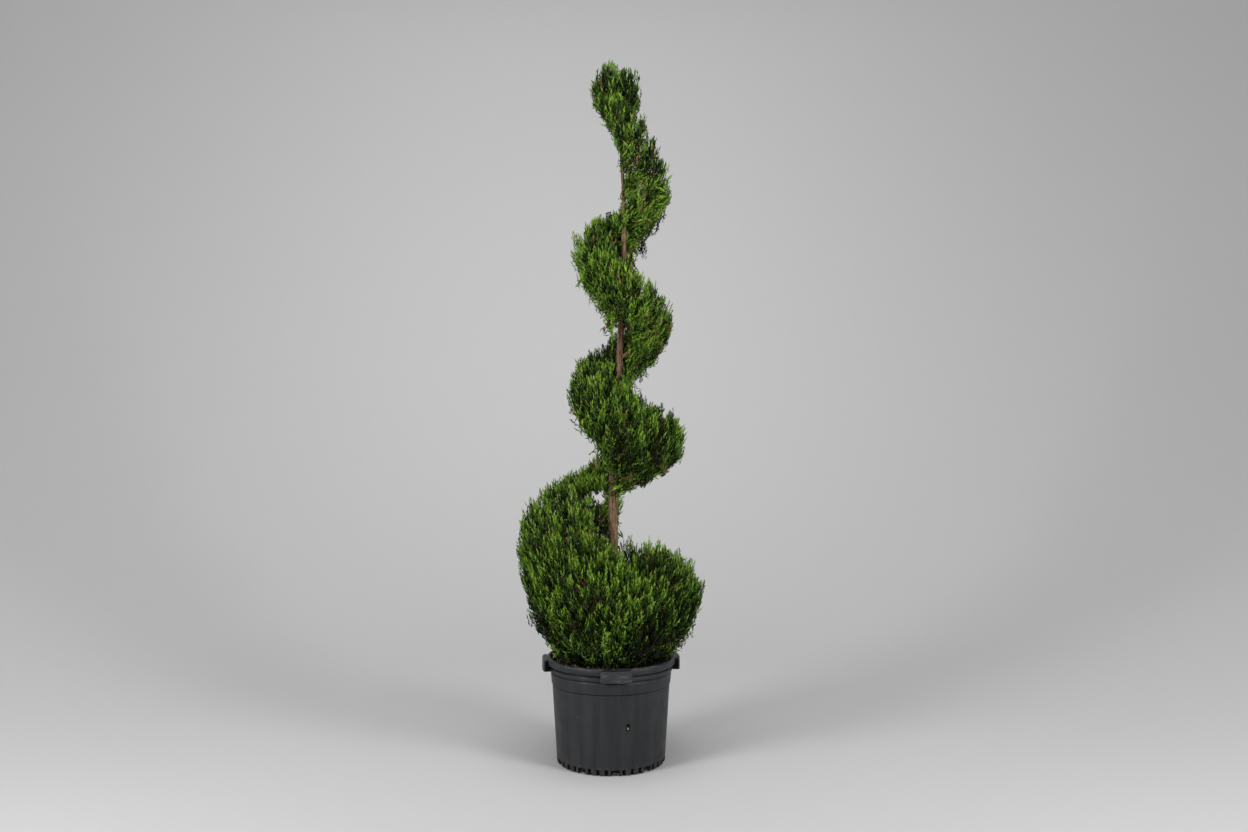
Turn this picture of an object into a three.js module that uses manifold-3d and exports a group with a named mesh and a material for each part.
// A conifer clipped into a climbing spiral, standing in a round nursery container.
// Millimetres, +Z up. The origin is the centre of the container's flat underside, +X is to the
// right and -Y is the front, the side from which the spiral's lowest lobe starts on the right.

import * as THREE from "three";
import { mergeVertices } from "three/addons/utils/BufferGeometryUtils.js";
import Module from "manifold-3d";

const wasm = await Module();
wasm.setup();

const TURN = 2 * Math.PI;
const CLEARANCE = 0.3;

// Container
const POT_HEIGHT = 268;
const RIM_RADIUS = 165;
const RIM_BAND = 17;
const RIM_LIP = 9;
const SHOULDER_RADIUS = 158;
const SHOULDER_HEIGHT = 234;
const BODY_TOP_RADIUS = 154;
const STEP_HEIGHT = 200;
const STEP_RADIUS = 150;
const BASE_RADIUS = 138;
const BASE_CHAMFER = 3;
const WALL = 3;
const FLOOR = 5;
const POT_SIDES = 40;

// Hand grips on the rim
const GRIPS = 4;
const GRIP_AZIMUTH = THREE.MathUtils.degToRad(-85);
const GRIP_WIDTH = 78;
const GRIP_HEIGHT = 29;
const GRIP_TOP = 265;
const GRIP_REACH = 11;
const GRIP_WALL = 4;

// Drainage round the base's corner: every fourth of the flutes is a hole
const FLUTES = 40;
const FLUTES_PER_HOLE = 4;
const FLUTE = { width: 6, height: 12, depth: 1.4 };
const DRAIN = { width: 22, height: 15, depth: 16 };

// Compost
const SOIL_TOP = 245;
const SOIL_EDGE_DROP = 9;
const SOIL_FLAT = 32;
const SOIL_BUMP = 2.2;
const SOIL_SIDES = 24;

// Trunk. Heights from here on are above the compost.
const TRUNK_FOOT_X = -8;
const TRUNK_TOP = 1490;
const TRUNK_RADIUS = 15.5;
const TRUNK_TIP_RADIUS = 1.6;
const TRUNK_TAPER = 0.9;
const FLARE = { radius: 9, height: 32 };
const LEAN = 0.0365;
const LEADER_BEND = { from: 1105, share: 2.3e-4 };
const WAVER = { radius: 3.2, height: 120 };
const TRUNK_SIDES = 10;
const TRUNK_RINGS = 24;

// The clipped spiral, measured in turns from its right-hand end. It climbs to the left across
// the front. Each row gives the height of the widest point, the reach from the trunk there, how
// far the foliage stands above and hangs below it, and how full its underside is.
const LOBES = [
  { turn: -0.4, height: 100, reach: 215, up: 105, down: 75, under: 3 },
  { turn: 0, height: 160, reach: 232, up: 160, down: 180, under: 3 },
  { turn: 0.25, height: 165, reach: 240, up: 148, down: 200, under: 3 },
  { turn: 0.5, height: 340, reach: 246, up: 115, down: 420, under: 2.4 },
  { turn: 0.75, height: 475, reach: 190, up: 90, down: 135, under: 1.6 },
  { turn: 1, height: 545, reach: 188, up: 122, down: 110, under: 1.7 },
  { turn: 1.5, height: 702, reach: 126, up: 112, down: 136, under: 1.8 },
  { turn: 2, height: 860, reach: 138, up: 88, down: 98, under: 2.3 },
  { turn: 2.5, height: 1045, reach: 128, up: 100, down: 138, under: 2.3 },
  { turn: 3, height: 1212, reach: 125, up: 98, down: 86, under: 2.4 },
  { turn: 3.15, height: 1320, reach: 106, up: 128, down: 132, under: 2.4 },
  { turn: 3.3, height: 1412, reach: 80, up: 54, down: 80, under: 1.5 },
];
const HEAD = { turn: 3.5, height: 1444, reach: 60, up: 101, down: 78, under: 2.6 };

// Above its widest point a lobe is rounded as a superellipse of this power, where 2 is an ellipse.
const FULLNESS = 2.8;

// Each mass is a quarter of a turn. Its sides slant, by so many turns over one unit of lift, so
// that no gap between two masses can be seen straight through.
const SECTOR = 0.25;
const SECTOR_SKEW = 0.07;
const FIRST_TURN = -0.25;
const LAST_TURN = 3.25;
const SIDES = ["right", "front", "left", "back"];

// Boughs, from the trunk to where they enter a mass
const FOOT_LIFT = -0.8;
const FOOT_LOWEST = 25;
const BOUGH_END = { lift: -0.34, share: 0.4 };
const BOUGH_RADIUS = { least: 1.6, share: 0.022 };
const BOUGH_TIP_SHARE = 0.62;
const BOUGH_SAG = 0.14;
const BOUGH_SIDES = 5;
const BOUGH_STEPS = 4;

// The dense heart of a clipped mass
const CORE = { lift: 0.05, share: 0.53, liftHalf: 0.66, shareHalf: 0.34, sides: 8, steps: 3 };
const CORE_SQUARENESS = 0.55;
const CORE_INSET = 0.008;
const HEAD_CORE = { lift: 0.72, share: 0.62 };
const HEAD_SPACE = { lift: 1.12, share: 1.25 };
const EGG = { sides: 9, rings: 6 };

// Sprays
const SPRAY_AREA = 0.4;
const SPRAY_LENGTH = { least: 62, share: 0.06 };
const SPRAY_WIDTH = 0.48;
const SPRAY_THICKNESS = 0.1;
const SPRAY_SCATTER = 0.3;
const SPRAY_HOLD = 60;
const SPRAY_SINK = 0.3;
const SPRAY_LIFT = { low: -0.82, high: 0.98, power: 0.55 };
const SPRAY_CUTBACKS = [1, 0.7, 0.5];
const TIP_SHARE = { least: 0.97, spread: 0.07 };
const GROW_OUT = 0.62;
const GROW_UP = { middle: 0.32, lift: 0.3 };
const SPACE_MARGIN = 5;
const SIDE_GAP = 1;
const LIMB_GAP = 2;
const TWIG = { lift: -0.3, share: 0.5, root: 3, tip: 1.7, sides: 3 };
const PLASTIC_RATIO = 1.32471795724;

const pot = new THREE.MeshStandardMaterial({ color: 0x2f3133, roughness: 0.55, metalness: 0 });
const compost = new THREE.MeshStandardMaterial({ color: 0x2b1f16, roughness: 1, metalness: 0 });
const bark = new THREE.MeshStandardMaterial({ color: 0x7a5a45, roughness: 0.9, metalness: 0 });
const needles = new THREE.MeshStandardMaterial({ color: 0x3f6a22, roughness: 0.7, metalness: 0 });

// Solids

// A closed geometry as a solid, with its shared vertices merged and collapsed faces dropped.
function solidOf(geometry) {
  const bare = new THREE.BufferGeometry()
    .setAttribute("position", geometry.getAttribute("position"))
    .setIndex(geometry.index);
  const merged = mergeVertices(bare, 1e-3);
  const corners = merged.index.array;
  const kept = [];
  for (let i = 0; i < corners.length; i += 3) {
    const [a, b, c] = [corners[i], corners[i + 1], corners[i + 2]];
    if (a !== b && b !== c && c !== a) kept.push(a, b, c);
  }
  return new wasm.Manifold(
    new wasm.Mesh({
      numProp: 3,
      vertProperties: merged.attributes.position.array,
      triVerts: new Uint32Array(kept),
    }),
  );
}

// The largest body of a solid that a cut may have parted.
function largestBody(solid) {
  return solid.decompose().sort((a, b) => b.volume() - a.volume())[0];
}

// The same solid as a geometry with flat faces.
function geometryOf(solid) {
  const mesh = solid.getMesh();
  const geometry = new THREE.BufferGeometry()
    .setAttribute("position", new THREE.BufferAttribute(mesh.vertProperties, 3))
    .setIndex(new THREE.BufferAttribute(mesh.triVerts, 1))
    .toNonIndexed();
  geometry.computeVertexNormals();
  return geometry;
}

function piece(name, solid, material) {
  const mesh = new THREE.Mesh(geometryOf(solid), material);
  mesh.name = name;
  return mesh;
}

// A profile of [radius, height] pairs turned round the vertical axis.
function turned(profile, sides) {
  const points = profile.map(([radius, height]) => new THREE.Vector2(radius, height));
  return new THREE.LatheGeometry(points, sides).rotateX(Math.PI / 2);
}

// Moves every vertex of a geometry by a function of its position.
function moved(geometry, move) {
  const position = geometry.getAttribute("position");
  const point = new THREE.Vector3();
  for (let i = 0; i < position.count; i++) {
    move(point.fromBufferAttribute(position, i));
    position.setXYZ(i, point.x, point.y, point.z);
  }
  return geometry;
}

// Random numbers from 0 to 1 that are the same on every run.
function dice(seed) {
  let state = seed;
  return () => {
    state = (Math.imul(state, 1664525) + 1013904223) >>> 0;
    return state / 2 ** 32;
  };
}

// Container

function potShell() {
  const innerTop = RIM_RADIUS - RIM_LIP;
  const innerBottom = POT_HEIGHT - RIM_BAND - 4;
  return solidOf(
    turned(
      [
        [0, 0],
        [BASE_RADIUS - BASE_CHAMFER, 0],
        [BASE_RADIUS, BASE_CHAMFER],
        [STEP_RADIUS, STEP_HEIGHT],
        [STEP_RADIUS + 2, STEP_HEIGHT + 2],
        [BODY_TOP_RADIUS, SHOULDER_HEIGHT - 3],
        [SHOULDER_RADIUS, SHOULDER_HEIGHT],
        [SHOULDER_RADIUS, POT_HEIGHT - RIM_BAND - 2],
        [RIM_RADIUS - 1, POT_HEIGHT - RIM_BAND],
        [RIM_RADIUS, POT_HEIGHT - 4],
        [RIM_RADIUS - 3, POT_HEIGHT],
        [innerTop, POT_HEIGHT],
        [SHOULDER_RADIUS - 4.5, innerBottom],
        [BODY_TOP_RADIUS - WALL, SHOULDER_HEIGHT - 6],
        [BASE_RADIUS - WALL, FLOOR],
        [0, FLOOR],
      ],
      POT_SIDES,
    ),
  );
}

// A ring sector from one radius to another, as thick as it is tall, centred on an azimuth.
function ringSector(inner, outer, halfAngle, low, high, azimuth) {
  const shape = new THREE.Shape();
  shape.absarc(0, 0, outer, -halfAngle, halfAngle, false);
  shape.absarc(0, 0, inner, halfAngle, -halfAngle, true);
  shape.closePath();
  const geometry = new THREE.ExtrudeGeometry(shape, {
    depth: high - low,
    bevelEnabled: false,
    curveSegments: 2,
  });
  return solidOf(geometry.translate(0, 0, low).rotateZ(azimuth));
}

// A hand grip: a shallow tray turned over, moulded on to the rim and open below.
function grip(azimuth) {
  const outer = RIM_RADIUS + GRIP_REACH;
  const low = GRIP_TOP - GRIP_HEIGHT;
  const halfAngle = GRIP_WIDTH / 2 / outer;
  const wallAngle = GRIP_WALL / outer;
  const block = ringSector(SHOULDER_RADIUS - 3, outer, halfAngle, low, GRIP_TOP, azimuth);
  const pocket = ringSector(
    SHOULDER_RADIUS + 2.5,
    outer - GRIP_WALL,
    halfAngle - wallAngle,
    low - 1,
    GRIP_TOP - GRIP_WALL - 5,
    azimuth,
  );
  return block.subtract(pocket);
}

// A block that cuts the corner between wall and floor, as deep as it is asked to.
function cornerCut({ width, height, depth }, azimuth) {
  const over = 2;
  const box = new THREE.BoxGeometry(depth + over, width, height + over);
  box.translate(BASE_RADIUS + over - (depth + over) / 2, 0, (height - over) / 2);
  return solidOf(box.rotateZ(azimuth));
}

function potSolid() {
  const grips = Array.from({ length: GRIPS }, (_, i) => grip(GRIP_AZIMUTH + (TURN * i) / GRIPS));
  const cuts = Array.from({ length: FLUTES }, (_, i) => {
    const cutter = i % FLUTES_PER_HOLE ? FLUTE : DRAIN;
    return cornerCut(cutter, GRIP_AZIMUTH + (TURN * i) / FLUTES);
  });
  return wasm.Manifold.union([potShell(), ...grips]).subtract(wasm.Manifold.union(cuts));
}

// The compost fills the container to just under its rim. It is flat where the trunk stands.
function soilSolid() {
  const edge = BODY_TOP_RADIUS - WALL - CLEARANCE * 2;
  const throwDie = dice(7);
  const rings = [0.5, 0.8].map((share) => [
    edge * share,
    SOIL_TOP - SOIL_EDGE_DROP * share ** 3,
  ]);
  const geometry = turned(
    [
      [0, FLOOR + CLEARANCE],
      [BASE_RADIUS - WALL - CLEARANCE * 2, FLOOR + CLEARANCE],
      [edge, SHOULDER_HEIGHT - 6],
      [edge, SOIL_TOP - SOIL_EDGE_DROP],
      ...rings.reverse(),
      [SOIL_FLAT, SOIL_TOP],
      [0, SOIL_TOP],
    ],
    SOIL_SIDES,
  );
  const merged = mergeVertices(
    new THREE.BufferGeometry()
      .setAttribute("position", geometry.getAttribute("position"))
      .setIndex(geometry.index),
    1e-3,
  );
  return solidOf(
    moved(merged, (p) => {
      const radius = Math.hypot(p.x, p.y);
      const loose = radius > SOIL_FLAT + 1 && radius < edge - 1 && p.z > SOIL_TOP - SOIL_EDGE_DROP;
      if (loose) p.z += SOIL_BUMP * (throwDie() - 0.7);
    }),
  );
}

// Trunk

// Where the trunk's centre line is at a height. It leans to the right, wavers a little, and its
// leader bends back to the left.
function axisAt(height) {
  const bent = Math.max(0, height - LEADER_BEND.from);
  return {
    x: LEAN * height - LEADER_BEND.share * bent ** 2 + WAVER.radius * Math.sin(height / WAVER.height),
    y: WAVER.radius * (Math.cos(height / WAVER.height / 1.6) - 1),
  };
}

function trunkRadiusAt(height) {
  const left = THREE.MathUtils.clamp(1 - height / TRUNK_TOP, 0, 1);
  return (
    TRUNK_TIP_RADIUS +
    (TRUNK_RADIUS - TRUNK_TIP_RADIUS) * left ** TRUNK_TAPER +
    FLARE.radius * Math.exp(-height / FLARE.height)
  );
}

// The trunk as rings round its centre line, thicker by a margin where it serves as a cutter.
function trunkSolid(margin = 0) {
  const foot = -10 * margin;
  const profile = [[0, foot]];
  for (let i = 0; i <= TRUNK_RINGS; i++) {
    const height = TRUNK_TOP * (i / TRUNK_RINGS) ** 1.35;
    profile.push([trunkRadiusAt(height) + margin, i ? height : foot]);
  }
  profile.push([0, TRUNK_TOP + margin]);
  return solidOf(
    moved(turned(profile, TRUNK_SIDES), (p) => {
      const axis = axisAt(p.z);
      p.x += axis.x;
      p.y += axis.y;
    }),
  );
}

// The spiral's shape

// The lobes' sizes at any turn, on a smooth curve through the rows of LOBES.
function lobeAt(turn) {
  let i = LOBES.findIndex((row) => row.turn > turn) - 1;
  if (i === -2) i = LOBES.length - 2;
  i = THREE.MathUtils.clamp(i, 0, LOBES.length - 2);
  const [a, b] = [LOBES[i], LOBES[i + 1]];
  const [before, after] = [LOBES[Math.max(0, i - 1)], LOBES[Math.min(LOBES.length - 1, i + 2)]];
  const span = b.turn - a.turn;
  const s = THREE.MathUtils.clamp((turn - a.turn) / span, 0, 1);
  const lobe = {};
  for (const key of ["height", "reach", "up", "down", "under"]) {
    const leave = ((b[key] - before[key]) / (b.turn - before.turn)) * span;
    const arrive = ((after[key] - a[key]) / (after.turn - a.turn)) * span;
    lobe[key] =
      (2 * s ** 3 - 3 * s ** 2 + 1) * a[key] +
      (s ** 3 - 2 * s ** 2 + s) * leave +
      (3 * s ** 2 - 2 * s ** 3) * b[key] +
      (s ** 3 - s ** 2) * arrive;
  }
  return lobe;
}

// How far the clipped outline stands from the trunk's centre line at a lift, which runs from -1
// at the lobe's lowest point to 1 at its highest.
function reachAt(lobe, lift) {
  if (Math.abs(lift) > 1) return 0;
  const share = lift > 0 ? Math.sqrt(1 - lift ** FULLNESS) : 1 - Math.abs(lift) ** lobe.under;
  return lobe.reach * share;
}

// A point of a mass: share is its distance from the trunk, as a share of the outline's.
function pointIn(mass, turn, lift, share) {
  const lobe = mass.lobeAt(turn);
  const z = lobe.height + lift * (lift > 0 ? lobe.up : lobe.down);
  const axis = axisAt(z);
  const out = share * reachAt(lobe, lift);
  const azimuth = -TURN * turn;
  return new THREE.Vector3(axis.x + out * Math.cos(azimuth), axis.y + out * Math.sin(azimuth), z);
}

// The turn, lift and share of a point, as seen from a mass.
function placeOf(mass, point) {
  const axis = axisAt(point.z);
  const out = Math.hypot(point.x - axis.x, point.y - axis.y);
  const raw = -Math.atan2(point.y - axis.y, point.x - axis.x) / TURN;
  const turn = raw + Math.round(mass.middle - raw);
  const lobe = mass.lobeAt(turn);
  const above = point.z - lobe.height;
  const lift = above / (above > 0 ? lobe.up : lobe.down);
  return { turn, lift, out, reach: reachAt(lobe, lift) };
}

// Whether a point lies in the space that a mass keeps to: between its two slanting sides, inside
// the clipped outline with a margin, and off the trunk.
function holds(mass, point) {
  const { turn, lift, out, reach } = placeOf(mass, point);
  if (Math.abs(lift) >= 1 || out > reach + SPACE_MARGIN) return false;
  if (out < trunkRadiusAt(point.z) + LIMB_GAP) return false;
  const aside = Math.abs(turn - mass.middle - SECTOR_SKEW * lift);
  return mass.closed || (mass.half - aside) * TURN * out >= SIDE_GAP;
}

// Whether a point of the plant is clear of the compost and of the container's rim.
function clearsPot(point) {
  const rim = POT_HEIGHT - SOIL_TOP + LIMB_GAP;
  const radius = Math.hypot(point.x + TRUNK_FOOT_X, point.y);
  return point.z > LIMB_GAP && (point.z > rim || radius < RIM_RADIUS - RIM_LIP - LIMB_GAP);
}

// Limbs

// A round limb along a curve, tapering from one radius to another.
function limb(curve, rootRadius, tipRadius, sides, steps) {
  const frames = curve.computeFrenetFrames(steps, false);
  const round = new THREE.CylinderGeometry(1, 1, 1, sides, steps).rotateX(Math.PI / 2);
  return solidOf(
    moved(round, (p) => {
      const along = p.z + 0.5;
      const step = Math.round(along * steps);
      const radius = THREE.MathUtils.lerp(rootRadius, tipRadius, along);
      const { x, y } = p;
      p.copy(curve.getPointAt(along))
        .addScaledVector(frames.normals[step], x * radius)
        .addScaledVector(frames.binormals[step], y * radius);
    }),
  );
}

function footOf(mass) {
  const lobe = mass.lobeAt(mass.middle);
  const z = Math.max(lobe.height + FOOT_LIFT * lobe.down, FOOT_LOWEST);
  const axis = axisAt(z);
  return new THREE.Vector3(axis.x, axis.y, z);
}

// A bough leaves the trunk at its foot, runs out and bends up into the mass.
function boughPath(mass) {
  const foot = footOf(mass);
  const end = pointIn(mass, mass.middle, BOUGH_END.lift, BOUGH_END.share);
  const bend = foot.clone().lerp(end, 0.55);
  bend.z -= BOUGH_SAG * (end.z - foot.z);
  return new THREE.QuadraticBezierCurve3(foot, bend, end);
}

function boughRadius(mass) {
  return BOUGH_RADIUS.least + BOUGH_RADIUS.share * mass.lobeAt(mass.middle).reach;
}

function boughSolid(mass, margin = 0) {
  const root = boughRadius(mass) + margin;
  const tip = boughRadius(mass) * BOUGH_TIP_SHARE + margin;
  return limb(boughPath(mass), root, tip, BOUGH_SIDES, BOUGH_STEPS);
}

// The stem goes on from the bough's tip into the heart of the mass.
function stemSolid(mass) {
  const path = boughPath(mass);
  const direction = path.getTangentAt(1);
  const start = path.getPointAt(1).addScaledVector(direction, CLEARANCE);
  const heart = pointIn(mass, mass.middle, CORE.lift, CORE.share);
  const radius = boughRadius(mass) * BOUGH_TIP_SHARE;
  const bend = start.clone().addScaledVector(direction, start.distanceTo(heart) * 0.4);
  const curve = new THREE.QuadraticBezierCurve3(start, bend, heart);
  return limb(curve, radius, radius * 0.6, BOUGH_SIDES, 2);
}

// Foliage

// A flat spray with a ridge down both faces and a tooth on each edge, one unit long on +Z.
function sprayBlade() {
  const outline = [
    [0, 0],
    [0.5, 0.62],
    [0.2, 0.68],
    [0.04, 1],
    [-0.24, 0.76],
    [-0.5, 0.8],
  ];
  const points = [...outline.map(([x, z]) => [x, 0, z]), [0, 0.5, 0.45], [0, -0.5, 0.45]];
  const [front, back] = [outline.length, outline.length + 1];
  const faces = outline.flatMap((_, i) => {
    const next = (i + 1) % outline.length;
    return [next, i, front, i, next, back];
  });
  const geometry = new THREE.BufferGeometry();
  geometry.setAttribute("position", new THREE.Float32BufferAttribute(points.flat(), 3));
  return solidOf(geometry.setIndex(faces));
}

const BLADE = sprayBlade();

// The direction in which growth reaches a point: away from the mass's foot, and up where the
// point stands high in the mass.
function growthAt(mass, point, lift, throwDie) {
  const grow = point.clone().sub(footOf(mass)).normalize().multiplyScalar(GROW_OUT);
  grow.x += SPRAY_SCATTER * (throwDie() - 0.5);
  grow.y += SPRAY_SCATTER * (throwDie() - 0.5);
  grow.z += GROW_UP.middle + GROW_UP.lift * lift;
  return grow.normalize();
}

// A blade placed with its root at one point, its tip at another, its width along a direction.
function placedBlade(root, tip, across) {
  const along = tip.clone().sub(root);
  const length = along.length();
  const zAxis = along.normalize();
  const yAxis = zAxis.clone().cross(across).normalize();
  const xAxis = yAxis.clone().cross(zAxis);
  const matrix = new THREE.Matrix4().makeBasis(
    xAxis.multiplyScalar(length * SPRAY_WIDTH),
    yAxis.multiplyScalar(length * SPRAY_THICKNESS),
    zAxis.multiplyScalar(length),
  );
  return BLADE.transform(matrix.setPosition(root).elements);
}

function cornersOf(solid) {
  const { vertProperties, numVert } = solid.getMesh();
  return Array.from({ length: numVert }, (_, i) =>
    new THREE.Vector3().fromArray(vertProperties, i * 3),
  );
}

// An egg round the leader that fills a share of the head's outline.
function eggSolid(mass, { lift, share }) {
  const egg = new THREE.SphereGeometry(1, EGG.sides, EGG.rings).rotateX(Math.PI / 2);
  return solidOf(
    moved(egg, (p) => {
      const turn = -Math.atan2(p.y, p.x) / TURN;
      const belt = Math.hypot(p.x, p.y) * share * mass.lobeAt(turn).reach;
      const centre = pointIn(mass, turn, lift * p.z, 0);
      p.copy(centre).x += belt * Math.cos(TURN * turn);
      p.y -= belt * Math.sin(TURN * turn);
    }),
  );
}

// The heart of a mass: its section is a squarish round in lift and share, carried through the
// turns.
function coreSolid(mass) {
  if (mass.closed) return eggSolid(mass, HEAD_CORE);
  const round = new THREE.CylinderGeometry(1, 1, 1, CORE.sides, CORE.steps);
  return solidOf(
    moved(round.rotateX(Math.PI / 2), (p) => {
      const up = Math.sign(p.y) * Math.abs(p.y) ** CORE_SQUARENESS;
      const out = Math.sign(p.x) * Math.abs(p.x) ** CORE_SQUARENESS;
      const lift = CORE.lift + CORE.liftHalf * up;
      const turn = mass.middle + SECTOR_SKEW * lift + p.z * 2 * (mass.half - CORE_INSET);
      p.copy(pointIn(mass, turn, lift, CORE.share + CORE.shareHalf * out));
    }),
  );
}

// A twig from where the stem enters the heart of a mass to a point outside it.
function twigTo(mass, point) {
  const start = mass.closed
    ? pointIn(mass, placeOf(mass, point).turn, 0, HEAD_CORE.share * 0.7)
    : pointIn(mass, mass.middle, TWIG.lift, TWIG.share);
  return limb(new THREE.LineCurve3(start, point), TWIG.root, TWIG.tip, TWIG.sides, 1);
}

// One spray with its tip at a place on the outline, with the twig that carries it where its root
// isn't in the heart. It is turned round, and cut back, until it keeps to the mass's own space
// and touches no limb. It is left out when none of that helps.
function spraySolids(mass, place, longest, core, blocked, throwDie) {
  const tip = pointIn(mass, place.turn, place.lift, place.share);
  const grow = growthAt(mass, tip, place.lift, throwDie);
  const azimuth = -TURN * place.turn;
  const outward = new THREE.Vector3(Math.cos(azimuth), Math.sin(azimuth), 0);
  const beside = new THREE.Vector3(-Math.sin(azimuth), Math.cos(azimuth), 0);
  const anyWay = beside.clone().applyAxisAngle(grow, Math.PI * throwDie());
  for (const cutback of SPRAY_CUTBACKS) {
    const length = longest * cutback;
    const root = tip.clone().addScaledVector(grow, -length);
    const blade = [anyWay, beside, outward]
      .map((across) => placedBlade(root, tip, across))
      .find((candidate) => !blocked(candidate));
    if (!blade) continue;
    if (blade.intersect(core).volume() > SPRAY_HOLD) return [blade];
    const twig = twigTo(mass, root.clone().addScaledVector(grow, length * SPRAY_SINK));
    if (!blocked(twig)) return [blade, twig];
  }
  return [];
}

// The sprays of a mass, their tips spread evenly over its clipped outline.
function spraysOf(mass, core, blocked) {
  const throwDie = dice(mass.seed);
  const lobe = mass.lobeAt(mass.middle);
  const depth = lobe.up + lobe.down;
  const area = mass.half * 2 * TURN * lobe.reach * 0.72 * depth;
  const length = SPRAY_LENGTH.least + SPRAY_LENGTH.share * depth;
  const { low, high, power } = SPRAY_LIFT;
  const solids = [];
  for (let i = 0; i < area / (SPRAY_AREA * length ** 2); i++) {
    const lift = THREE.MathUtils.lerp(low, high, ((0.5 + i / PLASTIC_RATIO ** 2) % 1) ** power);
    const aside = mass.half * 0.98 * (2 * ((0.5 + i / PLASTIC_RATIO) % 1) - 1);
    const turn = mass.middle + SECTOR_SKEW * lift + aside;
    const place = { turn, lift, share: TIP_SHARE.least + TIP_SHARE.spread * throwDie() };
    const longest = length * (0.8 + 0.4 * throwDie());
    solids.push(...spraySolids(mass, place, longest, core, blocked, throwDie));
  }
  return solids;
}

// A whole mass, cut clear of the limbs. Whatever the cut leaves loose is dropped.
function massSolid(mass, limbs, others) {
  const isFree = (point) =>
    holds(mass, point) && clearsPot(point) && !others.some((other) => holds(other, point));
  const blocked = (solid) =>
    !cornersOf(solid).every(isFree) || !solid.intersect(limbs).isEmpty();
  const core = coreSolid(mass);
  const parts = [core, ...spraysOf(mass, core, blocked)];
  if (!mass.closed) parts.push(stemSolid(mass));
  return largestBody(wasm.Manifold.union(parts).subtract(limbs)).simplify(0.15);
}

// The masses

function spiralMasses() {
  const count = Math.round((LAST_TURN - FIRST_TURN) / SECTOR) + 1;
  return Array.from({ length: count }, (_, i) => {
    const middle = FIRST_TURN + i * SECTOR;
    const side = SIDES[(i + SIDES.length - 1) % SIDES.length];
    const name = `turn${Math.floor(middle) + 1}_${side}`;
    return { name, middle, half: SECTOR / 2, lobeAt, seed: 101 + i * 37, closed: false };
  });
}

function headMass() {
  const lobe = () => HEAD;
  return { name: "head", middle: HEAD.turn, half: 0.5, lobeAt: lobe, seed: 977, closed: true };
}

// The boughs and the foliage. The masses of the spiral keep out of one another's space and the
// head's.
function branchPieces() {
  const trunkCutter = trunkSolid(CLEARANCE);
  const head = headMass();
  const masses = spiralMasses();
  const headSpace = trunkCutter.add(eggSolid(head, HEAD_SPACE));
  const pieces = masses.flatMap((mass) => {
    const others = masses.filter((other) => other !== mass);
    const limbs = headSpace.add(boughSolid(mass, CLEARANCE));
    return [
      piece(`bough_${mass.name}`, largestBody(boughSolid(mass).subtract(trunkCutter)), bark),
      piece(`foliage_${mass.name}`, massSolid(mass, limbs, others), needles),
    ];
  });
  return [...pieces, piece("foliage_head", massSolid(head, trunkCutter, []), needles)];
}

const plant = new THREE.Group();
plant.position.set(TRUNK_FOOT_X, 0, SOIL_TOP + CLEARANCE);
plant.add(piece("trunk", trunkSolid(), bark), ...branchPieces());

const topiary = new THREE.Group();
topiary.add(piece("pot", potSolid(), pot), piece("compost", soilSolid(), compost), plant);

export default topiary;
